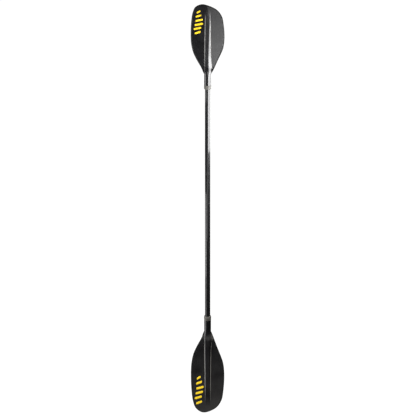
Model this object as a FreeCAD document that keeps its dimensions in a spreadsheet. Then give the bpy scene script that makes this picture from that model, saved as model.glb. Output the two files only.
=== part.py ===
import FreeCAD, Part
import math
import os
import Sketcher

# A two-piece kayak paddle, standing on end. The origin is the middle of the shaft, where the two
# halves meet. +Z runs along the shaft to the upper blade, -Y is the side that both faces look to,
# and the blades' longer edges are on the -X side. The lower half mirrors the upper one.

# driving dimensions, in millimetres and degrees
DIMENSIONS = {
    "overall_length": 2400.0,
    "shaft_diameter": 28.6,
    "shaft_wall": 1.5,
    "blade_length": 446.0,
    "blade_width": 181.0,
    "blade_thickness": 3.2,
    "face_offset": 12.0,
    "blade_tilt": 8.0,
    "spoon_radius": 4050.0,
    "dihedral_angle": 3.5,
    "blade_turn": 8.5,
    "band_width": 5.0,
    "band_thickness": 4.0,
    "band_start": 30.0,
    "neck_diameter": 37.0,
    "neck_length": 86.0,
    "neck_step": 2.0,
    "spine_wall": 2.5,
    "collar_diameter": 38.6,
    "collar_width": 24.0,
    "collar_lip": 4.0,
    "collar_bevel": 0.8,
    "glue_gap": 0.2,
    "bond_step": 0.2,
    "mouth_bevel": 0.5,
    "socket_depth": 80.0,
    "socket_floor": 2.0,
    "end_plug_length": 28.0,
    "joint_length": 100.0,
    "joint_overlap": 4.0,
    "sleeve_wall": 0.9,
    "insert_wall": 1.45,
    "running_gap": 0.05,
    "lead_in": 2.0,
    "lead_in_depth": 0.7,
    "seal_space": 2.0,
    "seal_gap": 0.3,
    "seal_inner_gap": 0.1,
    "seal_outer_gap": 0.2,
    "bulkhead_gap": 2.0,
    "bulkhead_length": 25.0,
    "button_height": 50.0,
    "button_diameter": 7.0,
    "button_reach": 0.2,
    "button_flange": 1.5,
    "flange_height": 8.2,
    "flange_thickness": 0.9,
    "feather_angle": 60.0,
    "spring_width": 6.0,
    "spring_thickness": 0.6,
    "mark_thickness": 0.15,
}

# heights and radii that follow from the driving ones, each in terms of the sheet and of those above it
DERIVED = {
    "throat_height": "overall_length / 2 - blade_length",
    "neck_start": "throat_height - neck_length",
    "shaft_end": "neck_start + socket_depth",
    "socket_bottom": "shaft_end + socket_floor",
    "shaft_radius": "shaft_diameter / 2",
    "bond_radius": "shaft_radius - bond_step",
    "glue_radius": "shaft_radius + glue_gap",
    "step_radius": "neck_diameter / 2 - neck_step",
    "tube_radius": "shaft_radius - shaft_wall",
    "sleeve_radius": "tube_radius - sleeve_wall",
    "running_radius": "sleeve_radius - running_gap",
    "insert_bore": "running_radius - insert_wall",
    "ferrule_end": "joint_length + joint_overlap",
    "bulkhead_start": "ferrule_end + bulkhead_gap",
    "stem_radius": "button_diameter / 2",
    "button_top": "shaft_radius + button_reach",
}

# the blade's outline, from inside the neck up its longer edge, round the tip and down the shorter edge:
# (share of half the blade's width, share of the blade's length)
OUTLINE = [
    (-0.145, -0.01),
    (-0.232, 0.02),
    (-0.350, 0.09),
    (-0.635, 0.20),
    (-0.850, 0.30),
    (-0.972, 0.42),
    (-1.0, 0.56),
    (-0.965, 0.74),
    (-0.878, 0.87),
    (-0.712, 0.953),
    (-0.300, 0.999),
    (0.306, 0.962),
    (0.630, 0.91),
    (0.848, 0.833),
    (0.948, 0.72),
    (1.0, 0.53),
    (0.932, 0.388),
    (0.790, 0.30),
    (0.591, 0.20),
    (0.387, 0.09),
    (0.240, 0.02),
    (0.145, -0.01),
]

# the spine's sections: (share of the blade's length, middle in x, middle in y, half width, half depth)
SPINE = [
    (-0.006, 0.0, 0.0, 17.2, 17.0),
    (0.03, 0.4, -2.7, 17.2, 16.8),
    (0.12, 1.2, -12.0, 17.0, 16.4),
    (0.20, 1.1, -20.8, 16.4, 14.0),
    (0.30, 1.0, -30.3, 15.6, 11.2),
    (0.42, 0.9, -41.4, 14.5, 8.8),
    (0.55, 0.8, -53.6, 13.4, 6.8),
    (0.72, 0.7, -69.6, 12.4, 4.5),
    (0.88, 0.6, -86.0, 11.4, 2.3),
]
CORE_SECTIONS = slice(1, 7)  # the sections that the foam core follows

# the slanted bars that mark each blade, from the tip down: (middle in x, half length)
UPPER_BARS = [(-48.0, 10.0), (-49.0, 15.0), (-45.0, 20.0), (-47.0, 22.0), (-54.0, 20.0), (-53.0, 16.0)]
LOWER_BARS = [(-46.0, 16.0), (-50.0, 19.0), (-45.0, 20.0), (-41.0, 20.0), (-46.0, 16.0), (-48.0, 10.0)]
MARK_TOP = 59.0
MARK_PITCH = 26.6
MARK_BAR_WIDTH = 12.0
MARK_SLANT = 14.0

# the button's crown, inside its flat radius: (in from the stem's radius, down from its top)
CROWN = [(0.0, 0.55), (0.4, 0.38), (1.4, 0.17)]

# the leaf spring's line, in the YZ plane
BEND_HEIGHT = 12.0
BEND_RADIUS = 3.5
LEG_TOP = 60.0
FRONT_LEG = -9.2
BACK_LEG = 8.3

HOLE_CLEARANCE = 0.1  # of the tubes' button holes, on the radius
STEM_CLEARANCE = 0.05  # of the insert's button hole, on the radius
REACH = 150.0  # how far prisms and sheets extend past the blade
TUBE_CUTTER = 30.0  # length of the drill that makes a button hole

doc = FreeCAD.newDocument("kayak_paddle")
sheet = doc.addObject("Spreadsheet::Sheet", "Size")


def fill_sheet():
    for row, (alias, value) in enumerate(DIMENSIONS.items(), 1):
        sheet.set(f"A{row}", alias)
        sheet.set(f"B{row}", str(value))
        sheet.setAlias(f"B{row}", alias)
    doc.recompute()


def with_sheet(text):
    """An expression in plain names, with the sheet's name put before each alias."""
    words = []
    for word in text.replace("(", " ( ").replace(")", " ) ").split():
        if word in DERIVED:
            word = "( " + with_sheet(DERIVED[word]) + " )"
        elif word in DIMENSIONS:
            word = "Size." + word
        words.append(word)
    return " ".join(words)


def bind(piece, **expressions):
    """Ties properties to expressions in the sheet's aliases."""
    for name, text in expressions.items():
        piece.setExpression(name, with_sheet(text))


def size(text):
    """The value of a name or expression, in millimetres or degrees."""
    return float(sheet.evalExpression(with_sheet(text)))


def origin_plane(body, role):
    return next(f for f in body.Origin.OriginFeatures if f.Role == role)


def sketch_on(body, role, name):
    sketch = body.newObject("Sketcher::SketchObject", name)
    sketch.AttachmentSupport = (origin_plane(body, role), [""])
    sketch.MapMode = "FlatFace"
    return sketch


def turned(label, corners):
    """A round piece: a closed profile of (radius, height) expressions, turned about the Z axis."""
    body = doc.addObject("PartDesign::Body", label)
    sketch = sketch_on(body, "XZ_Plane", label + "_profile")
    points = [FreeCAD.Vector(size(r), size(z), 0) for r, z in corners]
    count = len(points)
    for k in range(count):
        sketch.addGeometry(Part.LineSegment(points[k], points[(k + 1) % count]))
    for k in range(count):
        sketch.addConstraint(Sketcher.Constraint("Coincident", k, 2, (k + 1) % count, 1))
    for k, (radius, height) in enumerate(corners):
        places = (("DistanceX", radius, points[k].x), ("DistanceY", height, points[k].y))
        for kind, text, place in places:
            number = sketch.addConstraint(Sketcher.Constraint(kind, -1, 1, k, 1, place))
            sketch.setExpression(f"Constraints[{number}]", with_sheet(text))
    turn = body.newObject("PartDesign::Revolution", label + "_turn")
    turn.Profile = sketch
    turn.ReferenceAxis = (sketch, ["V_Axis"])
    turn.Angle = 360.0
    body.Label = label
    return body


def mirrored(label, source):
    """The lower half's twin of an upper piece."""
    twin = doc.addObject("Part::Mirroring", label)
    twin.Source = source
    twin.Normal = FreeCAD.Vector(0, 0, 1)
    twin.Label = label
    return twin


def joined(kind, name, shapes):
    """A boolean of several shapes: MultiFuse or MultiCommon."""
    result = doc.addObject("Part::" + kind, name)
    result.Shapes = shapes
    return result


def cut(name, base, tool):
    result = doc.addObject("Part::Cut", name)
    result.Base = base
    result.Tool = tool
    return result


def outline_prism(name, inset):
    """The blade's outline, moved inward by inset and extruded through the blade's depth."""
    half_width = size("blade_width") / 2
    points = [
        FreeCAD.Vector(x * half_width, 0, size("throat_height") + share * size("blade_length"))
        for x, share in OUTLINE
    ]
    moved = []
    for k, point in enumerate(points):
        along = points[min(k + 1, len(points) - 1)] - points[max(k - 1, 0)]
        inward = FreeCAD.Vector(along.z, 0, -along.x).normalize()
        moved.append(point + inward * inset)
    moved[0].z = moved[-1].z = points[0].z
    edge = Part.BSplineCurve()
    edge.interpolate(moved)
    closing = Part.LineSegment(moved[-1], moved[0])
    flat = doc.addObject("Part::Feature", name + "_flat")
    flat.Shape = Part.Face(Part.Wire([edge.toShape(), closing.toShape()]))
    return extruded(name, flat)


def extruded(name, flat):
    """A flat shape in the XZ plane, extruded both ways along Y."""
    prism = doc.addObject("Part::Extrusion", name)
    prism.Base = flat
    prism.DirMode = "Custom"
    prism.Dir = FreeCAD.Vector(0, 1, 0)
    prism.LengthFwd = REACH
    prism.LengthRev = REACH
    prism.Solid = True
    return prism


def arc_depth(height, offset):
    """Where the blade's middle surface is in Y at a height, moved back by offset."""
    radius = size("spoon_radius")
    tilt = math.radians(size("blade_tilt"))
    below = height - size("throat_height") + radius * math.sin(tilt)
    return math.sqrt((radius + offset) ** 2 - below**2) - radius * math.cos(tilt) - size("face_offset")


def curved_sheet(name, side, inner, outer):
    """Half of the blade's dished sheet between two offsets from its middle surface. side is -1 for
    the longer edge's half and 1 for the other. Each half slopes away from the spine by the dihedral
    angle, and the whole blade turns a little about the shaft."""
    low = size("neck_start")
    high = size("overall_length / 2 + neck_length")
    middle = (low + high) / 2
    arcs = [
        Part.Arc(*(FreeCAD.Vector(0, arc_depth(z, offset), z) for z in (low, middle, high))).toShape()
        for offset in (inner, outer)
    ]
    foot, head = (Part.makeLine(arcs[0].Vertexes[k].Point, arcs[1].Vertexes[k].Point) for k in (0, 1))
    profile = doc.addObject("Part::Feature", name + "_profile")
    profile.Shape = Part.Face(Part.Wire([arcs[0], head, arcs[1], foot]))
    slope = math.radians(size("dihedral_angle") - side * size("blade_turn"))
    sheet_half = doc.addObject("Part::Extrusion", name)
    sheet_half.Base = profile
    sheet_half.DirMode = "Custom"
    sheet_half.Dir = FreeCAD.Vector(side * math.cos(slope), math.sin(slope), 0)
    sheet_half.LengthFwd = REACH
    sheet_half.Solid = True
    return sheet_half


def dished(name, prism, thickness):
    """What a prism keeps of the two halves of the dished sheet of a thickness."""
    halves = []
    for word, side in (("long", -1), ("short", 1)):
        sheet_half = curved_sheet(f"{name}_{word}_sheet", side, -thickness / 2, thickness / 2)
        halves.append(joined("MultiCommon", f"{name}_{word}", [sheet_half, prism]))
    return halves


def spine_loft(name, sections, wall):
    """The spine's tapered ridge through elliptical sections, thinned by wall."""
    rings = []
    for k, (share, middle_x, middle_y, half_width, half_depth) in enumerate(sections):
        ring = doc.addObject("Part::Ellipse", f"{name}_section_{k}")
        ring.MajorRadius = half_width - wall
        ring.MinorRadius = half_depth - wall
        height = size("throat_height") + share * size("blade_length")
        ring.Placement.Base = FreeCAD.Vector(middle_x, middle_y, height)
        rings.append(ring)
    loft = doc.addObject("Part::Loft", name)
    loft.Sections = rings
    loft.Solid = True
    loft.Ruled = True
    return loft


def make_neck():
    """The blade's round neck, stepped down at its mouth for the collar."""
    return turned(
        "neck",
        [
            ("glue_radius", "neck_start + collar_lip"),
            ("step_radius", "neck_start + collar_lip"),
            ("step_radius", "neck_start + collar_width"),
            ("neck_diameter / 2", "neck_start + collar_width"),
            ("neck_diameter / 2", "throat_height"),
            ("0", "throat_height"),
            ("0", "socket_bottom"),
            ("glue_radius", "socket_bottom"),
        ],
    )


def make_blade():
    """The moulded blade, its edge band and its foam core."""
    whole = outline_prism("whole_outline", 0.0)
    inner = outline_prism("inner_outline", size("band_width"))
    reach = doc.addObject("Part::Box", "band_reach")
    reach.Length = reach.Width = 2 * REACH
    bind(reach, Height="blade_length")
    reach.Placement.Base = FreeCAD.Vector(-REACH, -REACH, size("throat_height + band_start"))
    rim = joined("MultiCommon", "rim_prism", [cut("rim", whole, inner), reach])
    panel = cut("panel_prism", whole, rim)

    halves = dished("panel", panel, size("blade_thickness"))
    solid = joined("MultiFuse", "blade_solid", halves + [spine_loft("spine", SPINE, 0.0), make_neck()])
    core = spine_loft("upper_foam_core", SPINE[CORE_SECTIONS], size("spine_wall"))
    core.Label = "upper_foam_core"
    blade = cut("upper_blade", solid, core)
    blade.Label = "upper_blade"

    band = joined("MultiFuse", "upper_edge_band", dished("band", rim, size("band_thickness")))
    band.Label = "upper_edge_band"
    return blade, band, core


def make_mark(label, bars, slant):
    """Slanted bars on the face, near the tip and towards the longer edge. Each bar's outer end is
    higher than its inner one by slant."""
    faces = []
    tip = size("overall_length") / 2
    for k, (middle_x, half_length) in enumerate(bars):
        middle_z = tip - MARK_TOP - k * MARK_PITCH + (MARK_SLANT - slant) / 2
        corners = [
            (-half_length, slant - MARK_BAR_WIDTH / 2),
            (half_length, -MARK_BAR_WIDTH / 2),
            (half_length, MARK_BAR_WIDTH / 2),
            (-half_length, slant + MARK_BAR_WIDTH / 2),
        ]
        points = [FreeCAD.Vector(middle_x + x, 0, middle_z + z) for x, z in corners]
        faces.append(Part.Face(Part.makePolygon(points + points[:1])))
    flat = doc.addObject("Part::Feature", label + "_flat")
    flat.Shape = Part.makeCompound(faces)
    front = -size("blade_thickness") / 2
    skin = curved_sheet(label + "_skin", -1, front - size("mark_thickness"), front)
    mark = joined("MultiCommon", label, [skin, extruded(label + "_bars", flat)])
    mark.Label = label
    return mark


def make_collar():
    """The ring that closes the socket's mouth: a lip on the shaft and a skirt on the neck."""
    edge = "collar_diameter / 2"
    bevelled = edge + " - collar_bevel"
    return turned(
        "upper_socket_collar",
        [
            ("bond_radius", "neck_start"),
            (bevelled, "neck_start"),
            (edge, "neck_start + collar_bevel"),
            (edge, "neck_start + collar_width - collar_bevel"),
            (bevelled, "neck_start + collar_width"),
            ("step_radius", "neck_start + collar_width"),
            ("step_radius", "neck_start + collar_lip"),
            ("bond_radius", "neck_start + collar_lip"),
        ],
    )


def tube(label, inner, outer, low, high):
    return turned(label, [(inner, low), (outer, low), (outer, high), (inner, high)])


def make_plain_tube():
    """The shaft's tube before its button holes: bevelled where the halves meet, and ground down a
    little where it is bonded in the socket."""
    return turned(
        "plain_tube",
        [
            ("tube_radius", "0"),
            ("shaft_radius - mouth_bevel", "0"),
            ("shaft_radius", "mouth_bevel"),
            ("shaft_radius", "neck_start"),
            ("bond_radius", "neck_start"),
            ("bond_radius", "shaft_end"),
            ("tube_radius", "shaft_end"),
        ],
    )


def make_shaft_fillings():
    """The pieces bonded in or on the tube's blade end, and the plug behind the joint."""
    glue = tube("upper_socket_adhesive", "bond_radius", "glue_radius", "neck_start + collar_lip", "shaft_end")
    end_plug = tube("upper_shaft_end_plug", "0", "tube_radius", "shaft_end - end_plug_length", "shaft_end")
    behind = "bulkhead_start + bulkhead_length"
    bulkhead = tube("upper_bulkhead_plug", "0", "tube_radius", "bulkhead_start", behind)
    return glue, end_plug, bulkhead


def button_drill(name, angle, clearance):
    """A radial drill at the button's height, turned about the shaft from the +Y side."""
    drill = doc.addObject("Part::Cylinder", name)
    bind(drill, Radius=f"stem_radius + {clearance}")
    drill.Height = TUBE_CUTTER
    outward = FreeCAD.Rotation(FreeCAD.Vector(1, 0, 0), -90)
    about = FreeCAD.Rotation(FreeCAD.Vector(0, 0, 1), angle)
    drill.Placement = FreeCAD.Placement(FreeCAD.Vector(0, 0, size("button_height")), about * outward)
    return drill


def make_drilled(label, base, angles, clearance):
    """A tube with button holes at the given angles."""
    drills = [button_drill(f"{label}_drill_{k}", angle, clearance) for k, angle in enumerate(angles)]
    tool = joined("MultiFuse", label + "_drills", drills) if len(drills) > 1 else drills[0]
    result = cut(label, base, tool)
    result.Label = label
    return result


def make_ferrule():
    """The flush joint: the sleeve in the upper tube, the insert in the lower one, and the seal."""
    sleeve = tube("plain_sleeve", "sleeve_radius", "tube_radius", "seal_space", "ferrule_end")
    insert = turned(
        "plain_insert",
        [
            ("insert_bore", "( - ferrule_end )"),
            ("tube_radius", "( - ferrule_end )"),
            ("tube_radius", "0"),
            ("running_radius", "0"),
            ("running_radius", "joint_length - lead_in"),
            ("running_radius - lead_in_depth", "joint_length"),
            ("insert_bore", "joint_length"),
        ],
    )
    seal = tube(
        "joint_seal_ring",
        "sleeve_radius + seal_inner_gap",
        "tube_radius - seal_outer_gap",
        "seal_gap",
        "seal_space - seal_gap",
    )
    return sleeve, insert, seal


def make_button():
    """The domed button and its retaining flange, pointing out of the shaft's back."""
    crown = [(f"stem_radius - {inward}", f"button_top - {down}") for inward, down in CROWN]
    button = turned(
        "snap_button",
        [
            ("0", "flange_height"),
            ("stem_radius + button_flange", "flange_height"),
            ("stem_radius + button_flange", "flange_height + flange_thickness"),
            ("stem_radius", "flange_height + flange_thickness"),
            *crown,
            ("0", "button_top"),
        ],
    )
    outward = FreeCAD.Rotation(FreeCAD.Vector(1, 0, 0), -90)
    button.Placement = FreeCAD.Placement(FreeCAD.Vector(0, 0, size("button_height")), outward)
    return button


def make_spring():
    """The leaf spring: a narrow V with a round bend, one leg under the button and one on the wall."""
    body = doc.addObject("PartDesign::Body", "button_leaf_spring")
    sketch = sketch_on(body, "YZ_Plane", "spring_profile")
    half = size("spring_thickness") / 2
    lines = []
    for offset in (-half, half):
        reach = BEND_RADIUS + offset
        front = FreeCAD.Vector(FRONT_LEG - offset, LEG_TOP, 0)
        left = FreeCAD.Vector(-reach, BEND_HEIGHT, 0)
        low = FreeCAD.Vector(0, BEND_HEIGHT - reach, 0)
        right = FreeCAD.Vector(reach, BEND_HEIGHT, 0)
        back = FreeCAD.Vector(BACK_LEG + offset, LEG_TOP, 0)
        sketch.addGeometry(Part.LineSegment(front, left))
        sketch.addGeometry(Part.Arc(left, low, right))
        sketch.addGeometry(Part.LineSegment(right, back))
        lines.append((front, back))
    for inner_end, outer_end in zip(*lines):
        sketch.addGeometry(Part.LineSegment(inner_end, outer_end))
    pad = body.newObject("PartDesign::Pad", "spring_strip")
    pad.Profile = sketch
    pad.SideType = "Symmetric"
    bind(pad, Length="spring_width")
    body.Label = "button_leaf_spring"
    return body


def build():
    """Every sub-part, by node name."""
    fill_sheet()
    blade, band, core = make_blade()
    glue, end_plug, bulkhead = make_shaft_fillings()
    twins = {
        "blade": blade,
        "edge_band": band,
        "foam_core": core,
        "socket_collar": make_collar(),
        "socket_adhesive": glue,
        "shaft_end_plug": end_plug,
        "bulkhead_plug": bulkhead,
    }
    pieces = {}
    for name, upper in twins.items():
        pieces["upper_" + name] = upper
        pieces["lower_" + name] = mirrored("lower_" + name, upper)
    pieces["upper_blade_mark"] = make_mark("upper_blade_mark", UPPER_BARS, -MARK_SLANT)
    lower_mark = make_mark("lower_mark_source", LOWER_BARS, MARK_SLANT)
    pieces["lower_blade_mark"] = mirrored("lower_blade_mark", lower_mark)

    plain_tube = make_plain_tube()
    sleeve, insert, seal = make_ferrule()
    feather = size("feather_angle")
    detents = (-feather, 0.0, feather)
    pieces["upper_shaft_tube"] = make_drilled("upper_shaft_tube", plain_tube, detents, HOLE_CLEARANCE)
    pieces["lower_shaft_tube"] = mirrored("lower_shaft_tube", plain_tube)
    pieces["ferrule_sleeve"] = make_drilled("ferrule_sleeve", sleeve, detents, HOLE_CLEARANCE)
    pieces["ferrule_insert"] = make_drilled("ferrule_insert", insert, (0.0,), STEM_CLEARANCE)
    pieces["joint_seal_ring"] = seal
    pieces["snap_button"] = make_button()
    pieces["button_leaf_spring"] = make_spring()
    doc.recompute()
    return pieces


def check(pieces):
    """Stops on any object that failed and on any sub-part that isn't a valid solid."""
    for thing in doc.Objects:
        if "Invalid" in thing.State or "Error" in thing.State:
            raise RuntimeError(f"{thing.Name} failed: {thing.State}")
    for name, piece in pieces.items():
        shape = piece.Shape
        if shape.isNull() or not shape.isValid() or not shape.Solids:
            raise RuntimeError(f"{name} has no valid solid")


def export(pieces):
    os.makedirs("parts", exist_ok=True)
    for name, piece in sorted(pieces.items()):
        piece.Shape.exportStep(f"parts/{name}.step")
        print(f"{name}: {len(piece.Shape.Solids)} solid(s), {piece.Shape.Volume / 1000:.2f} cm3")


built = build()
check(built)
export(built)
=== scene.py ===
import math
import bpy
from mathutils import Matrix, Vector


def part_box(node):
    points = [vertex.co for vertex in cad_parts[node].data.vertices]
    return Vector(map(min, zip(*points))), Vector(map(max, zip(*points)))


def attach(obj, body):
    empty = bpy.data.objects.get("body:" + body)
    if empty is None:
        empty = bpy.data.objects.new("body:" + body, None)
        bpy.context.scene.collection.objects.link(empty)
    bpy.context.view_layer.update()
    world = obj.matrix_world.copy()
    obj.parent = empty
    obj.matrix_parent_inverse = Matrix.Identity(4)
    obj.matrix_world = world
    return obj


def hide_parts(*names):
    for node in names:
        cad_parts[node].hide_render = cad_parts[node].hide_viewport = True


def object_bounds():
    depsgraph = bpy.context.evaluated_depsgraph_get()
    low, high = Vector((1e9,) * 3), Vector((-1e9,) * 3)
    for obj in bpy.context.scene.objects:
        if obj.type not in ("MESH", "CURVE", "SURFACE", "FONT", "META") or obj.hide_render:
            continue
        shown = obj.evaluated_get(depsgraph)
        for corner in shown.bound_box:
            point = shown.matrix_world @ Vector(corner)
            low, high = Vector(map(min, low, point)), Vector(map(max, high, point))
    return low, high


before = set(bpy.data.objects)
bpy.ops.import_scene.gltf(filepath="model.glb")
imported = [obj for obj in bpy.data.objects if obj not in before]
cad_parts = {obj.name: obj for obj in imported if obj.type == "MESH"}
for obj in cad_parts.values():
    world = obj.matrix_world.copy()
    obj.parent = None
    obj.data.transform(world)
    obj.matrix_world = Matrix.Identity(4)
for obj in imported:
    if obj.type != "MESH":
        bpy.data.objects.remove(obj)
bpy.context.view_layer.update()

# ---------------------------------------------------------------- sizes, in metres, from the frame
MM = 0.001
TIP_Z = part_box("upper_edge_band")[1].z
BLADE_LENGTH = 0.446
THROAT_Z = TIP_Z - BLADE_LENGTH
HALF_WIDTH = 0.0905
FACE_OFFSET = 0.012
BLADE_TILT = math.radians(8.0)
SPOON_RADIUS = 4.05
LONG_SLOPE = math.tan(math.radians(12.0))
SHORT_SLOPE = math.tan(math.radians(-5.0))
CREST_SLOPE = math.tan(math.radians(10.0))
FOLD_SOFTNESS = 8.0 * MM
PANEL_HALF = 1.6 * MM
RIDGE_SOFTNESS = 0.2 * MM
NECK_RADIUS = 18.5 * MM
SOCKET_RADIUS = 14.5 * MM
SOCKET_SPACE = 2.0 * MM  # past the tube's end
THROAT_SPACE = 4.0 * MM  # below the throat, where the neck begins to widen
SKIN_INSET = 2.2 * MM  # of the skin's edge, inside the bead
BEAD_HALF = 1.95 * MM
BEAD_WIDTH = 5.2 * MM
TIP_SPACE = 0.05 * MM  # between the skin's last row and the outline's top
COLLAR_LIP = 4.0 * MM  # of the part that grips the shaft, below the part round the neck
COLLAR_GRIP = 0.1 * MM
COLLAR_DEPTH = 2.0 * MM  # of the part round the neck, into the neck
COLLAR_CORNER = 1.6 * MM
COLLAR_SWELL = 0.5 * MM
GROOVE_DEPTH = 0.35 * MM
GROOVE_WIDTH = 0.5 * MM
GROOVES = (0.24, 0.76)  # where they are, as shares of the collar's height
COLLAR_LOW, COLLAR_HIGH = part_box("upper_socket_collar")
COLLAR_RADIUS = COLLAR_HIGH.x
SHAFT_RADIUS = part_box("upper_shaft_tube")[1].x
FLOOR_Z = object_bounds()[0].z

# shares of the blade's length between which one thing turns into another
NECK_BLEND = (-0.10, 0.12)  # the round neck into the blade
RIDGE_FADE = (0.74, 0.95)  # the front ridge into the face
BEAD_START = (0.004, 0.12)  # the bead's thin start into its full section
SKIN_BLEND = (0.02, 0.12)  # the skin's edge from the outline to inside the bead
CREASE_HIGHLIGHT_START = (0.02, 0.08)  # no painted highlight on the creases into the full painted highlight
CREASE_HIGHLIGHT_END = (0.66, 0.92)  # and out again

# how finely the meshes are divided
OUTLINE_STEPS = 16
BEAD_STEPS, BEAD_ARC_STEPS = 24, 8
NECK_ROWS, BLADE_ROWS = 14, 150
WING_COLUMNS, RIDGE_COLUMNS = 22, 28
ROW_CROWDING = 0.92  # below 1 takes some rows from the tip
CREASE_MARGIN = 0.04  # of a row's width, kept between an edge and its crease
COLLAR_STEPS, COLLAR_SIDES = 44, 72

# the blade's outline, from the neck up its longer edge, round the tip and down the shorter edge:
# (share of half the blade's width, share of the blade's length)
OUTLINE = [
    (-0.145, -0.01),
    (-0.246, 0.02),
    (-0.370, 0.09),
    (-0.650, 0.20),
    (-0.856, 0.30),
    (-0.972, 0.42),
    (-1.0, 0.56),
    (-0.965, 0.74),
    (-0.878, 0.87),
    (-0.712, 0.953),
    (-0.300, 0.999),
    (0.306, 0.962),
    (0.630, 0.91),
    (0.848, 0.833),
    (0.948, 0.72),
    (1.0, 0.53),
    (0.932, 0.388),
    (0.790, 0.30),
    (0.591, 0.20),
    (0.387, 0.09),
    (0.240, 0.02),
    (0.145, -0.01),
]


# ---------------------------------------------------------------- small helpers
def blend(a, b, share):
    """The value that is the given share of the way from a to b."""
    return a + (b - a) * share


def smooth(low, high, value):
    """0 below low, 1 above high, an S between."""
    share = min(max((value - low) / (high - low), 0.0), 1.0)
    return share * share * (3 - 2 * share)


def soft_min(values, softness):
    """The lowest of the values, with the corner between them rounded."""
    low = min(values)
    return low - softness * math.log(sum(math.exp((low - v) / softness) for v in values))


def hermite(start, end, leaving, arriving, share):
    """A value on the cubic from start to end with the given slopes there."""
    return (
        (2 * share**3 - 3 * share**2 + 1) * start
        + (share**3 - 2 * share**2 + share) * leaving
        + (3 * share**2 - 2 * share**3) * end
        + (share**3 - share**2) * arriving
    )


def inward_at(line, k):
    """The direction into the blade, square to a line of (x, z) points, at one of them."""
    ahead, behind = line[min(k + 1, len(line) - 1)], line[max(k - 1, 0)]
    way = Vector((ahead[0] - behind[0], ahead[1] - behind[1])).normalized()
    return way.y, -way.x


def make_piece(word, side, part, points, faces, material, sharp=()):
    """One end's mesh piece, from the upper end's points, shaded smooth with the given edges crisp.
    Side is 1 for the upper end, and -1 for the lower one, which is its mirror image."""
    mesh = bpy.data.meshes.new(f"{word}_{part}")
    points = [(x, y, z * side) for x, y, z in points]
    mesh.from_pydata(points, [], faces if side > 0 else [tuple(reversed(face)) for face in faces])
    mesh.update()
    mesh.materials.append(material)
    for polygon in mesh.polygons:
        polygon.use_smooth = True
    if sharp:
        wanted = {frozenset(edge) for edge in sharp}
        for edge in mesh.edges:
            if frozenset(edge.vertices) in wanted:
                edge.use_edge_sharp = True
    piece = bpy.data.objects.new(f"{word}_{part}", mesh)
    bpy.context.scene.collection.objects.link(piece)
    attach(piece, word + "_half")
    return piece


# ---------------------------------------------------------------- the blade's shape
def curve_point(before, start, end, after, share):
    """A point of the centripetal Catmull-Rom curve from start to end. Where the line begins or stops,
    start or end is given twice."""
    first, span, last = (math.dist(*pair) ** 0.5 for pair in ((before, start), (start, end), (end, after)))
    point = []
    for a, b, c, d in zip(before, start, end, after):
        leaving = arriving = c - b
        if before != start:
            leaving = ((b - a) / first - (c - a) / (first + span) + (c - b) / span) * span
        if after != end:
            arriving = ((c - b) / span - (d - b) / (span + last) + (d - c) / last) * span
        point.append(hermite(b, c, leaving, arriving, share))
    return tuple(point)


def outline_curve(inset, steps=OUTLINE_STEPS):
    """The outline as a smooth line of (x, z) points through its corners, moved inward by inset."""
    corners = [(x * HALF_WIDTH, THROAT_Z + share * BLADE_LENGTH) for x, share in OUTLINE]
    padded = [corners[0], *corners, corners[-1]]
    line = [curve_point(*padded[k : k + 4], j / steps) for k in range(len(corners) - 1) for j in range(steps)]
    line.append(corners[-1])
    moved = []
    for k, (x, z) in enumerate(line):
        inward_x, inward_z = inward_at(line, k)
        moved.append((x + inward_x * inset, z + inward_z * inset))
    return moved


def along(table, share):
    """A value from a table of (share, value), by a smooth curve through its points."""
    if share <= table[0][0]:
        return table[0][1]
    for k in range(len(table) - 1):
        (s1, v1), (s2, v2) = table[k], table[k + 1]
        if share <= s2:
            s0, v0 = table[max(k - 1, 0)]
            s3, v3 = table[min(k + 2, len(table) - 1)]
            leaving = (v2 - v0) / (s2 - s0) * (s2 - s1)
            arriving = (v3 - v1) / (s3 - s1) * (s2 - s1)
            return hermite(v1, v2, leaving, arriving, (share - s1) / (s2 - s1))
    return table[-1][1]


# all in millimetres, by share of the blade's length: the ridge's creases with the face, left and
# right, its crest's edges, and how far it stands in front of and behind the middle surface
LEFT_CREASE = [(0.0, -18.4), (0.06, -17.8), (0.2, -16.6), (0.5, -14.0), (0.93, -11.2)]
LEFT_CREST = [(0.0, -9.0), (0.06, -13.6), (0.2, -13.2), (0.5, -11.6), (0.93, -10.4)]
RIGHT_CREST = [(0.0, 3.0), (0.06, 3.6), (0.2, 5.2), (0.4, 7.6), (0.6, 10.0), (0.93, 13.2)]
RIGHT_CREASE = [(0.0, 22.0), (0.05, 25.5), (0.1, 24.0), (0.16, 20.8), (0.26, 17.4), (0.5, 15.4), (0.93, 13.8)]
FRONT_RISE = [
    (-0.10, 12.5),
    (-0.05, 9.6),
    (0.0, 6.8),
    (0.03, 6.2),
    (0.06, 6.8),
    (0.12, 8.4),
    (0.3, 8.6),
    (0.55, 6.4),
    (0.8, 3.3),
    (0.93, 1.6),
]
BACK_RISE = [
    (-0.10, 24.5),
    (-0.02, 29.3),
    (0.03, 28.2),
    (0.12, 24.0),
    (0.3, 13.8),
    (0.55, 6.9),
    (0.8, 2.9),
    (0.9, 1.6),
]
BACK_REACH = [(0.0, 18.0), (0.12, 18.6), (0.3, 16.6), (0.55, 14.4), (0.93, 12.0)]


def middle_y(x, z):
    """The blade's middle surface: tilted forward, dished a little, and sloped to each side."""
    below = z - THROAT_Z + SPOON_RADIUS * math.sin(BLADE_TILT)
    spoon = math.sqrt(SPOON_RADIUS**2 - below**2) - SPOON_RADIUS * math.cos(BLADE_TILT) - FACE_OFFSET
    turn = (SHORT_SLOPE - LONG_SLOPE) / 2
    fold = (SHORT_SLOPE + LONG_SLOPE) / 2
    return spoon + turn * x + fold * (math.sqrt(x * x + FOLD_SOFTNESS**2) - FOLD_SOFTNESS)


def share_of(z):
    """How far up the blade a height is: 0 at the throat, 1 at the tip."""
    return (z - THROAT_Z) / BLADE_LENGTH


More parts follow.
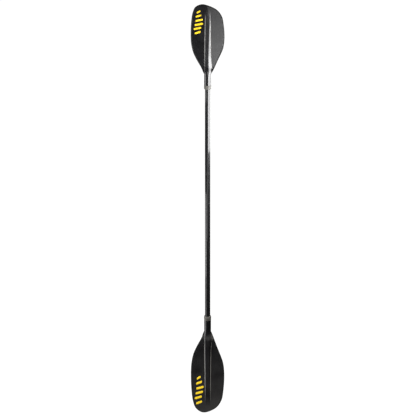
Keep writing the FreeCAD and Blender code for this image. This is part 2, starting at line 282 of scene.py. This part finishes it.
def creases(share):
    """Where the front ridge meets the face, left and right of the axis."""
    return along(LEFT_CREASE, share) * MM, along(RIGHT_CREASE, share) * MM


def crest_y(x, z):
    """The front ridge's flat crest, which slopes from one side to the other."""
    return middle_y(0, z) - along(FRONT_RISE, share_of(z)) * MM - CREST_SLOPE * x


def front_y(x, z):
    """The front surface: the round neck below the throat, then the face with its ridge."""
    share = share_of(z)
    face = middle_y(x, z) - PANEL_HALF
    left, right = creases(share)
    if left < x < right:
        planes = [crest_y(x, z)]
        for foot, top in ((left, along(LEFT_CREST, share) * MM), (right, along(RIGHT_CREST, share) * MM)):
            planes.append(blend(middle_y(foot, z) - PANEL_HALF, crest_y(top, z), (x - foot) / (top - foot)))
        ridge = min(face, -soft_min([-y for y in planes], RIDGE_SOFTNESS))
        face = blend(ridge, face, smooth(*RIDGE_FADE, share))
    neck = -math.sqrt(max(NECK_RADIUS**2 - x**2, 0.0))
    return blend(neck, face, smooth(*NECK_BLEND, share))


def back_y(x, z):
    """The back surface, with a rounder ridge that runs out towards the tip."""
    share = share_of(z)
    rise = along(BACK_RISE, share) * MM - PANEL_HALF
    across = min(abs(x) / (along(BACK_REACH, share) * MM), 1.0)
    face = middle_y(x, z) + PANEL_HALF + rise * (1 - across**2) ** 1.25
    neck = math.sqrt(max(NECK_RADIUS**2 - x**2, 0.0))
    return blend(neck, face, smooth(*NECK_BLEND, share))


def crossing(line, z, side):
    """How far out the outline is at a height, on one side of its highest point."""
    top = max(range(len(line)), key=lambda k: line[k][1])
    part = line[: top + 1] if side < 0 else line[top:][::-1]
    for (x0, z0), (x1, z1) in zip(part, part[1:]):
        if z0 <= z <= z1 and z1 > z0:
            return blend(x0, x1, (z - z0) / (z1 - z0))
    return part[-1][0] if z > part[-1][1] else part[0][0]


def row_heights(line):
    """The blade's rows: even up the neck and blade, and closer together towards the tip."""
    low, start = COLLAR_LOW.z + COLLAR_LIP, THROAT_Z - THROAT_SPACE
    rows = [blend(low, start, k / NECK_ROWS) for k in range(NECK_ROWS)]
    top = max(z for _, z in line) - TIP_SPACE
    for k in range(BLADE_ROWS + 1):
        rows.append(blend(start, top, math.sin(k / BLADE_ROWS * math.pi / 2) ** ROW_CROWDING))
    return rows


def blade_columns(z, inner, outer):
    """The x of each column of one row: edge to left crease, the ridge, right crease to edge."""
    share = share_of(z)
    within = smooth(*SKIN_BLEND, share)
    left_edge = blend(crossing(outer, z, -1), crossing(inner, z, -1), within)
    right_edge = blend(crossing(outer, z, 1), crossing(inner, z, 1), within)
    if share < 0.5:
        left_edge, right_edge = min(left_edge, -NECK_RADIUS), max(right_edge, NECK_RADIUS)
    if z < THROAT_Z:
        out = smooth(THROAT_Z - THROAT_SPACE, THROAT_Z, z)
        left_edge, right_edge = blend(-NECK_RADIUS, left_edge, out), blend(NECK_RADIUS, right_edge, out)
    left, right = creases(share)
    margin = CREASE_MARGIN * (right_edge - left_edge)
    left = max(left, left_edge + margin)
    right = min(right, right_edge - margin)
    if left >= right:
        left, right = blend(left_edge, right_edge, 0.33), blend(left_edge, right_edge, 0.67)
    xs = [blend(left_edge, left, k / WING_COLUMNS) for k in range(WING_COLUMNS)]
    turns = [math.pi * k / RIDGE_COLUMNS for k in range(RIDGE_COLUMNS)]
    xs += [blend(left, right, 0.5 - 0.5 * math.cos(turn)) for turn in turns]
    xs += [blend(right, right_edge, k / WING_COLUMNS) for k in range(WING_COLUMNS + 1)]
    return xs


def make_blade(word, side):
    """The moulded blade: dished panel, creased spine and round neck, as one closed skin."""
    inner, outer = outline_curve(SKIN_INSET), outline_curve(0.0)
    rows = row_heights(inner)
    points = []
    for z in rows:
        xs = blade_columns(z, inner, outer)
        front = [(x, front_y(x, z), z) for x in xs]
        back = [(x, back_y(x, z), z) for x in xs]
        front[0] = back[0] = (xs[0], (front[0][1] + back[0][1]) / 2, z)
        front[-1] = back[-1] = (xs[-1], (front[-1][1] + back[-1][1]) / 2, z)
        points += front + back[-2:0:-1]
    loop = len(points) // len(rows)
    bottom = points[:loop]
    shrink = SOCKET_RADIUS / NECK_RADIUS
    socket_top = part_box("upper_shaft_tube")[1].z + SOCKET_SPACE
    bore = [[(x * shrink, y * shrink, z) for x, y, _ in bottom] for z in (socket_top, bottom[0][2])]
    points = bore[0] + bore[1] + points
    row_count = len(rows) + 2
    faces = []
    for row in range(row_count - 1):
        for k in range(loop):
            after = (k + 1) % loop
            a, b = row * loop + k, row * loop + after
            faces.append((a, b, b + loop, a + loop))
    faces.append(tuple(reversed(range(loop))))
    faces.append(tuple(range((row_count - 1) * loop, row_count * loop)))
    sharp = [(loop + k, loop + (k + 1) % loop) for k in range(loop)]
    sharp += [(2 * loop + k, 2 * loop + (k + 1) % loop) for k in range(loop)]
    # painted highlight: a strength on the ridge's crease columns, which mixes a pale grey into the blade's
    # colour
    crease_painted_highlight = [0.0] * len(points)
    for row, z in enumerate(rows):
        strength = smooth(*CREASE_HIGHLIGHT_START, share_of(z)) * (1 - smooth(*CREASE_HIGHLIGHT_END, share_of(z)))
        for column in (WING_COLUMNS, WING_COLUMNS + RIDGE_COLUMNS):
            crease_painted_highlight[(row + 2) * loop + column] = strength
    piece = make_piece(word, side, "blade_skin", points, faces, BLADE_MATERIAL, sharp)
    layer = piece.data.attributes.new("crease", "FLOAT", "POINT")
    layer.data.foreach_set("value", crease_painted_highlight)
    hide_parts(word + "_blade")


def make_band(word, side):
    """The bead round the blade's edge, swept along the outline."""
    line = [p for p in outline_curve(0.0, BEAD_STEPS) if share_of(p[1]) > BEAD_START[0]]
    shoulder = [(1.0, 0.84), (0.72, 0.95), (0.5, 1.0)]  # shares of the bead's width and half thickness
    section = [(across * BEAD_WIDTH, -out * BEAD_HALF) for across, out in shoulder]
    for k in range(BEAD_ARC_STEPS + 1):
        angle = math.pi * (k / BEAD_ARC_STEPS - 0.5)
        section.append((BEAD_HALF * (1 - math.cos(angle)), BEAD_HALF * math.sin(angle)))
    section += [(across * BEAD_WIDTH, out * BEAD_HALF) for across, out in reversed(shoulder)]
    points = []
    for k, (x, z) in enumerate(line):
        inward_x, inward_z = inward_at(line, k)
        taper = blend(0.06, 1.0, smooth(*BEAD_START, share_of(z)))
        for inward, forward in section:
            px = x + inward_x * inward * taper
            pz = z + inward_z * inward * taper
            points.append((px, (front_y(px, pz) + back_y(px, pz)) / 2 + forward * taper, pz))
    count = len(section)
    faces = []
    for row in range(len(line) - 1):
        for k in range(count):
            a, b = row * count + k, row * count + (k + 1) % count
            faces.append((a, a + count, b + count, b))
    faces.append(tuple(range(count)))
    faces.append(tuple(reversed(range((len(line) - 1) * count, len(line) * count))))
    piece = make_piece(word, side, "edge_bead", points, faces, BAND_MATERIAL)
    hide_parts(word + "_edge_band")


# slanted bars on each face, from the tip down: (middle in x, half length), in millimetres
UPPER_BARS = [(-48.0, 10.0), (-49.0, 15.0), (-45.0, 20.0), (-47.0, 22.0), (-54.0, 20.0), (-53.0, 16.0)]
LOWER_BARS = [(-46.0, 16.0), (-50.0, 19.0), (-45.0, 20.0), (-41.0, 20.0), (-46.0, 16.0), (-48.0, 10.0)]
MARK_TOP = 59.0
MARK_PITCH = 26.6
MARK_HALF = 6.0
MARK_SLANT = 14.0
MARK_DEPTHS = (-0.2, 0.3)  # of the paint's front, which stands off the blade's face, and of its sunk back
MARK_ROUNDING = 0.7  # of the bars' ends, as a share of their half width
MARK_STEPS, MARK_ROWS = 24, 8


def make_mark(word, side, bars, slant):
    """Thin painted bars that follow the blade's face, with rounded ends."""
    points, faces = [], []
    for number, (middle, half) in enumerate(bars):
        base = TIP_Z / MM - MARK_TOP - number * MARK_PITCH + (MARK_SLANT - slant) / 2
        start = len(points)
        for depth in MARK_DEPTHS:
            for row in range(MARK_ROWS + 1):
                v = 2 * row / MARK_ROWS - 1
                trim = MARK_HALF * MARK_ROUNDING * (1 - math.sqrt(max(1 - v * v, 0.0)))
                for step in range(MARK_STEPS + 1):
                    u = 2 * step / MARK_STEPS - 1
                    across = u * (half - trim)
                    x = (middle + across) * MM
                    z = (base + slant * (half - across) / (2 * half) + v * MARK_HALF) * MM
                    points.append((x, front_y(x, z) + depth * MM, z))
        width = MARK_STEPS + 1
        sheet_size = width * (MARK_ROWS + 1)
        for row in range(MARK_ROWS):
            for step in range(MARK_STEPS):
                a = start + row * width + step
                faces.append((a, a + 1, a + width + 1, a + width))
                b = a + sheet_size
                faces.append((b, b + width, b + width + 1, b + 1))
        rim = [start + step for step in range(width)]
        rim += [start + row * width + MARK_STEPS for row in range(1, MARK_ROWS + 1)]
        rim += [start + MARK_ROWS * width + step for step in range(MARK_STEPS - 1, -1, -1)]
        rim += [start + row * width for row in range(MARK_ROWS - 1, 0, -1)]
        for a, b in zip(rim, rim[1:] + rim[:1]):
            faces.append((a, a + sheet_size, b + sheet_size, b))
    piece = make_piece(word, side, "mark_bars", points, faces, MARK_MATERIAL)
    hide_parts(word + "_blade_mark")


def make_collar(word, side):
    """The ring at the socket's mouth: a soft swell between rounded lips, with two fine grooves."""
    low, high = COLLAR_LOW.z, COLLAR_HIGH.z
    height = high - low
    inner_lip, inner_skirt = SHAFT_RADIUS - COLLAR_GRIP, NECK_RADIUS - COLLAR_DEPTH
    profile = [(inner_lip, low)]
    for k in range(COLLAR_STEPS + 1):
        share = k / COLLAR_STEPS
        past = 1 - min(min(share, 1 - share) * height / COLLAR_CORNER, 1.0)
        corner = COLLAR_CORNER * (1 - math.sqrt(max(1 - past**2, 0.0)))
        offsets = [(share - at) * height / GROOVE_WIDTH for at in GROOVES]
        groove = sum(GROOVE_DEPTH * math.exp(-(offset**2)) for offset in offsets)
        swell = COLLAR_RADIUS - COLLAR_SWELL * (2 * share - 1) ** 2
        profile.append((swell - corner - groove, low + share * height))
    profile += [(inner_skirt, high), (inner_skirt, low + COLLAR_LIP), (inner_lip, low + COLLAR_LIP)]
    count = len(profile)
    points, faces, sharp = [], [], []
    for k in range(COLLAR_SIDES):
        angle = 2 * math.pi * k / COLLAR_SIDES
        points += [(r * math.cos(angle), r * math.sin(angle), z) for r, z in profile]
        here, there = k * count, (k + 1) % COLLAR_SIDES * count
        for j in range(count):
            after = (j + 1) % count
            faces.append((here + j, there + j, there + after, here + after))
        sharp += [(here + j, there + j) for j in (0, count - 3, count - 2, count - 1)]
    piece = make_piece(word, side, "collar_ring", points, faces, COLLAR_MATERIAL, sharp)
    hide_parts(word + "_socket_collar")


# ---------------------------------------------------------------- materials
class Look:
    """A procedural material in the making: a Principled shader and the nodes that feed it."""

    def __init__(self, name, sockets):
        self.material = bpy.data.materials.new(name)
        self.material.use_nodes = True
        self.tree = self.material.node_tree
        self.shader = self.tree.nodes["Principled BSDF"]
        for socket, value in sockets.items():
            self.shader.inputs[socket].default_value = value
        self.place = self.tree.nodes.new("ShaderNodeTexCoord").outputs["Object"]

    def feed(self, output, socket):
        self.tree.links.new(output, self.shader.inputs[socket])

    def stretched(self, scale, turn=(0, 0, 0)):
        node = self.tree.nodes.new("ShaderNodeMapping")
        node.inputs["Scale"].default_value = scale
        node.inputs["Rotation"].default_value = turn
        self.tree.links.new(self.place, node.inputs["Vector"])
        return node.outputs["Vector"]

    def noise(self, scale, detail=4.0, place=None, roughness=0.55):
        node = self.tree.nodes.new("ShaderNodeTexNoise")
        node.inputs["Scale"].default_value = scale
        node.inputs["Detail"].default_value = detail
        node.inputs["Roughness"].default_value = roughness
        self.tree.links.new(place or self.place, node.inputs["Vector"])
        return node.outputs["Fac"]

    def cells(self, scale, place=None):
        node = self.tree.nodes.new("ShaderNodeTexVoronoi")
        node.inputs["Scale"].default_value = scale
        self.tree.links.new(place or self.place, node.inputs["Vector"])
        return node.outputs["Distance"]

    def wave(self, scale, place, distortion=0.0):
        node = self.tree.nodes.new("ShaderNodeTexWave")
        node.inputs["Scale"].default_value = scale
        node.inputs["Distortion"].default_value = distortion
        self.tree.links.new(place, node.inputs["Vector"])
        return node.outputs["Fac"]

    def attribute(self, name):
        node = self.tree.nodes.new("ShaderNodeAttribute")
        node.attribute_name = name
        return node.outputs["Fac"]

    def between(self, fac, low, high, out_low=0.0, out_high=1.0):
        node = self.tree.nodes.new("ShaderNodeMapRange")
        values = {"From Min": low, "From Max": high, "To Min": out_low, "To Max": out_high}
        for name, value in values.items():
            node.inputs[name].default_value = value
        self.tree.links.new(fac, node.inputs["Value"])
        return node.outputs["Result"]

    def math(self, kind, a, b):
        node = self.tree.nodes.new("ShaderNodeMath")
        node.operation = kind
        for socket, value in zip(node.inputs, (a, b)):
            if isinstance(value, (int, float)):
                socket.default_value = value
            else:
                self.tree.links.new(value, socket)
        return node.outputs["Value"]

    def mix(self, fac, a, b):
        node = self.tree.nodes.new("ShaderNodeMix")
        node.data_type = "RGBA"
        self.tree.links.new(fac, node.inputs["Factor"])
        for socket, value in ((node.inputs["A"], a), (node.inputs["B"], b)):
            if isinstance(value, tuple):
                socket.default_value = (*value, 1)
            else:
                self.tree.links.new(value, socket)
        return node.outputs["Result"]

    def bump(self, height, strength, distance):
        node = self.tree.nodes.new("ShaderNodeBump")
        node.inputs["Strength"].default_value = strength
        node.inputs["Distance"].default_value = distance
        self.tree.links.new(height, node.inputs["Height"])
        self.feed(node.outputs["Normal"], "Normal")


def blade_look():
    """Black fibre-filled nylon: short pale flecks, a fine moulded grain, and a painted highlight along the
    creases, which are also a little glossier.
    """
    look = Look("blade_black_nylon", {"Specular IOR Level": 0.75})
    flecks = look.between(look.noise(520, 3, look.stretched((1, 1, 0.35), (0, 0.5, 0))), 0.62, 0.80)
    grain = look.noise(1500, 2)
    clouds = look.noise(14, 3)
    plain = look.mix(look.between(clouds, 0.35, 0.7), (0.0044, 0.0044, 0.0050), (0.0082, 0.0082, 0.0089))
    flecked = look.mix(look.math("MULTIPLY", flecks, 0.32), plain, (0.050, 0.050, 0.052))
    # the crease attribute paints a pale grey highlight along the ridge's creases, and makes them a little
    # glossier
    crease = look.attribute("crease")
    look.feed(look.mix(look.math("MULTIPLY", crease, 0.9), flecked, (0.32, 0.31, 0.29)), "Base Color")
    rough = look.between(look.math("ADD", clouds, look.math("MULTIPLY", grain, 0.35)), 0.45, 0.95, 0.19, 0.28)
    look.feed(look.math("SUBTRACT", rough, look.math("MULTIPLY", crease, 0.08)), "Roughness")
    look.bump(look.math("ADD", grain, look.math("MULTIPLY", flecks, 0.3)), 0.07, 0.0002)
    return look.material


def band_look():
    """The edge's darker rubbery nylon, scuffed a little."""
    look = Look("edge_band_black", {"Specular IOR Level": 0.3})
    scuffs = look.between(look.noise(160, 5, look.stretched((1, 1, 0.25))), 0.60, 0.74)
    wear = look.math("MULTIPLY", scuffs, 0.5)
    look.feed(look.mix(wear, (0.0032, 0.0032, 0.0034), (0.022, 0.022, 0.022)), "Base Color")
    look.feed(look.between(look.noise(60), 0.3, 0.7, 0.42, 0.60), "Roughness")
    look.bump(look.noise(1300, 2), 0.2, 0.0002)
    return look.material


def mark_look():
    """Printed yellow paint, a little uneven, with the grain showing through."""
    look = Look("mark_yellow_paint", {"Specular IOR Level": 0.35})
    thin = look.between(look.noise(90, 4), 0.3, 0.75)
    look.feed(look.mix(thin, (0.93, 0.68, 0.018), (0.86, 0.56, 0.012)), "Base Color")
    look.feed(look.between(look.noise(220), 0.3, 0.7, 0.38, 0.55), "Roughness")
    look.bump(look.noise(1500, 2), 0.15, 0.0002)
    return look.material


def collar_look():
    """Grey moulded rubber, paler where it has rubbed."""
    look = Look("collar_grey_rubber", {"Specular IOR Level": 0.4})
    rubbed = look.between(look.noise(120, 5, look.stretched((1, 1, 0.5))), 0.45, 0.70)
    look.feed(look.mix(rubbed, (0.060, 0.058, 0.053), (0.115, 0.110, 0.098)), "Base Color")
    look.feed(look.between(look.noise(90), 0.3, 0.7, 0.42, 0.6), "Roughness")
    look.bump(look.noise(1400, 2), 0.25, 0.0002)
    return look.material


def shaft_look():
    """Lacquered black fibre tube: a crossed winding under clear gloss, with fine handling haze."""
    gloss = {"Specular IOR Level": 0.30, "Coat Weight": 0.8, "Coat Roughness": 0.05}
    look = Look("shaft_wound_fibre", gloss)
    one, other = (look.wave(150, look.stretched((1, 1, 1), (0, lean, 0)), 1.2) for lean in (0.72, -0.72))
    weave = look.math("MAXIMUM", one, other)
    fibres = look.noise(900, 3, look.stretched((1, 1, 0.06)))
    streaks = look.math("MULTIPLY", weave, look.between(fibres, 0.35, 0.7))
    look.feed(look.mix(streaks, (0.0035, 0.0035, 0.0040), (0.0130, 0.0130, 0.0140)), "Base Color")
    look.feed(look.between(fibres, 0.3, 0.7, 0.28, 0.42), "Roughness")
    look.bump(weave, 0.05, 0.0002)
    return look.material


def plain_look(name, dark, pale, grain, rough_low, rough_high, bump=0.2, metallic=0.0):
    """A small part's material: mottled between two colours, with grain in its gloss and surface."""
    look = Look(name, {"Metallic": metallic})
    look.feed(look.mix(look.between(look.noise(grain, 5), 0.35, 0.70), dark, pale), "Base Color")
    look.feed(look.between(look.noise(grain * 2.3), 0.3, 0.7, rough_low, rough_high), "Roughness")
    look.bump(look.noise(grain * 5, 2), bump, 0.0002)
    return look.material


def foam_look(name, dark, pale):
    """Closed-cell foam."""
    look = Look(name, {"Roughness": 0.85, "Specular IOR Level": 0.2})
    cells = look.cells(900)
    look.feed(look.mix(look.between(cells, 0.1, 0.6), dark, pale), "Base Color")
    look.bump(cells, 0.5, 0.0006)
    return look.material


BLADE_MATERIAL = blade_look()
BAND_MATERIAL = band_look()
MARK_MATERIAL = mark_look()
COLLAR_MATERIAL = collar_look()
NODE_LOOKS = {
    "shaft_tube": shaft_look(),
    "foam_core": foam_look("core_foam_cells", (0.34, 0.31, 0.22), (0.60, 0.55, 0.42)),
    "plug": foam_look("plug_foam_cells", (0.025, 0.025, 0.028), (0.07, 0.07, 0.075)),
    "adhesive": plain_look("adhesive_resin", (0.22, 0.17, 0.08), (0.34, 0.27, 0.14), 240, 0.25, 0.40),
    "ferrule": plain_look(
        "ferrule_glass_fibre", (0.010, 0.010, 0.011), (0.030, 0.030, 0.032), 380, 0.26, 0.40
    ),
    "seal": plain_look("seal_rubber", (0.010, 0.010, 0.010), (0.022, 0.022, 0.022), 500, 0.55, 0.70),
    "snap_button": plain_look(
        "button_steel", (0.52, 0.53, 0.54), (0.66, 0.67, 0.68), 700, 0.22, 0.36, bump=0.1, metallic=1.0
    ),
    "spring": plain_look(
        "spring_steel", (0.42, 0.43, 0.45), (0.56, 0.57, 0.59), 600, 0.25, 0.40, bump=0.1, metallic=1.0
    ),
}


def dress_nodes():
    """Gives every CAD node that stays in view a procedural material."""
    for name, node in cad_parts.items():
        look = next((material for word, material in NODE_LOOKS.items() if word in name), None)
        if look:
            for slot in node.material_slots:
                slot.material = look


# ---------------------------------------------------------------- stage
FLOOR_REACH = 40.0
CARD_DISTANCE = 0.6
CAMERA_ELEVATION = math.radians(24)
CAMERA_DISTANCE = 60.0
FRAME_WIDTH = 2.2377  # metres across the frame at the paddle
CAMERA_TARGET = Vector((0.0022, 0, -0.0310))


def make_floor():
    """A wide white floor that shines a little of its own, so that it stays plain white."""
    mesh = bpy.data.meshes.new("studio_floor")
    corners = ((-1, -1), (1, -1), (1, 1), (-1, 1))
    mesh.from_pydata([(x * FLOOR_REACH, y * FLOOR_REACH, FLOOR_Z) for x, y in corners], [], [(0, 1, 2, 3)])
    floor = bpy.data.objects.new("studio_floor", mesh)
    bpy.context.scene.collection.objects.link(floor)
    sockets = {
        "Base Color": (0.08, 0.08, 0.08, 1),
        "Roughness": 0.9,
        "Specular IOR Level": 0.0,
        "Emission Color": (1, 1, 1, 1),
        "Emission Strength": 0.97,
    }
    mesh.materials.append(Look("white_floor", sockets).material)
    floor.visible_glossy = False
    floor.visible_diffuse = False


def area_light(name, place, target, width, height, radiance, spread=180):
    """A soft rectangular light of a given brightness and spread in degrees. The camera doesn't see it."""
    data = bpy.data.lights.new(name, "AREA")
    data.shape = "RECTANGLE"
    data.size, data.size_y = width, height
    data.energy = radiance * math.pi * width * height
    data.spread = math.radians(spread)
    light = bpy.data.objects.new(name, data)
    bpy.context.scene.collection.objects.link(light)
    light.location = place
    light.rotation_euler = (Vector(target) - Vector(place)).to_track_quat("-Z", "Y").to_euler()
    light.visible_camera = False


def card(name, bearing, height, width, tall, radiance, spread=180):
    """A light that stands beside the shaft at a bearing from the front, positive to the right."""
    angle = math.radians(bearing)
    place = (CARD_DISTANCE * math.sin(angle), -CARD_DISTANCE * math.cos(angle), height)
    area_light(name, place, (0, 0, height), width, tall, radiance, spread)


def make_world():
    """A studio that is dark below the horizon and white above it."""
    world = bpy.data.worlds.new("studio")
    bpy.context.scene.world = world
    world.use_nodes = True
    nodes, links = world.node_tree.nodes, world.node_tree.links
    background = nodes["Background"]
    background.inputs["Strength"].default_value = 1.0
    ramp = nodes.new("ShaderNodeValToRGB")
    below, above = ramp.color_ramp.elements
    below.position = 0.0
    below.color = (0.008, 0.008, 0.008, 1)
    above.position = 0.12
    above.color = (0.98, 0.95, 0.90, 1)
    split = nodes.new("ShaderNodeSeparateXYZ")
    links.new(nodes.new("ShaderNodeTexCoord").outputs["Generated"], split.inputs["Vector"])
    links.new(split.outputs["Z"], ramp.inputs["Fac"])
    links.new(ramp.outputs["Color"], background.inputs["Color"])


def make_lights():
    """Cards on the right for the shaft's bright stripe and on the left for its dimmer one, a card on the
    floor for the upper blade's face, and a light above for the whole paddle."""
    for number, (bearing, radiance) in enumerate(((43, 15.0), (84, 8.5), (125, 5.0))):
        card(f"right_card_{number}", bearing, 0.35, 0.42, 0.62, radiance)
    card("left_card_high", -80, 0.66, 0.50, 0.66, 3.0)
    card("left_card_middle", -80, -0.46, 0.50, 0.50, 2.66, spread=120)
    card("left_card_low", -80, -0.95, 0.50, 0.45, 1.17, spread=120)
    floor_place = Vector((-0.32, -2.75, FLOOR_Z + 0.02))
    area_light("floor_card", floor_place, (floor_place.x, floor_place.y, 0), 0.80, 1.20, 4.5, spread=150)
    area_light("front_top_light", (-0.9, -2.2, 2.8), (0, 0, -0.4), 1.6, 1.6, 8.5)


def make_camera():
    """A view from the front and a little above, from so far off that it is almost without perspective."""
    data = bpy.data.cameras.new("camera")
    camera = bpy.data.objects.new("camera", data)
    bpy.context.scene.collection.objects.link(camera)
    data.sensor_width = 36.0
    data.lens = data.sensor_width * CAMERA_DISTANCE / FRAME_WIDTH
    data.clip_end = 200.0
    back = Vector((0, -math.cos(CAMERA_ELEVATION), math.sin(CAMERA_ELEVATION)))
    camera.location = CAMERA_TARGET + back * CAMERA_DISTANCE
    camera.rotation_euler = (-back).to_track_quat("-Z", "Y").to_euler()
    bpy.context.scene.camera = camera


for word, side, bars, slant in (("upper", 1, UPPER_BARS, -MARK_SLANT), ("lower", -1, LOWER_BARS, MARK_SLANT)):
    make_blade(word, side)
    make_band(word, side)
    make_mark(word, side, bars, slant)
    make_collar(word, side)
dress_nodes()
make_floor()
make_world()
make_lights()
make_camera()
bpy.context.scene.view_settings.view_transform = "Standard"
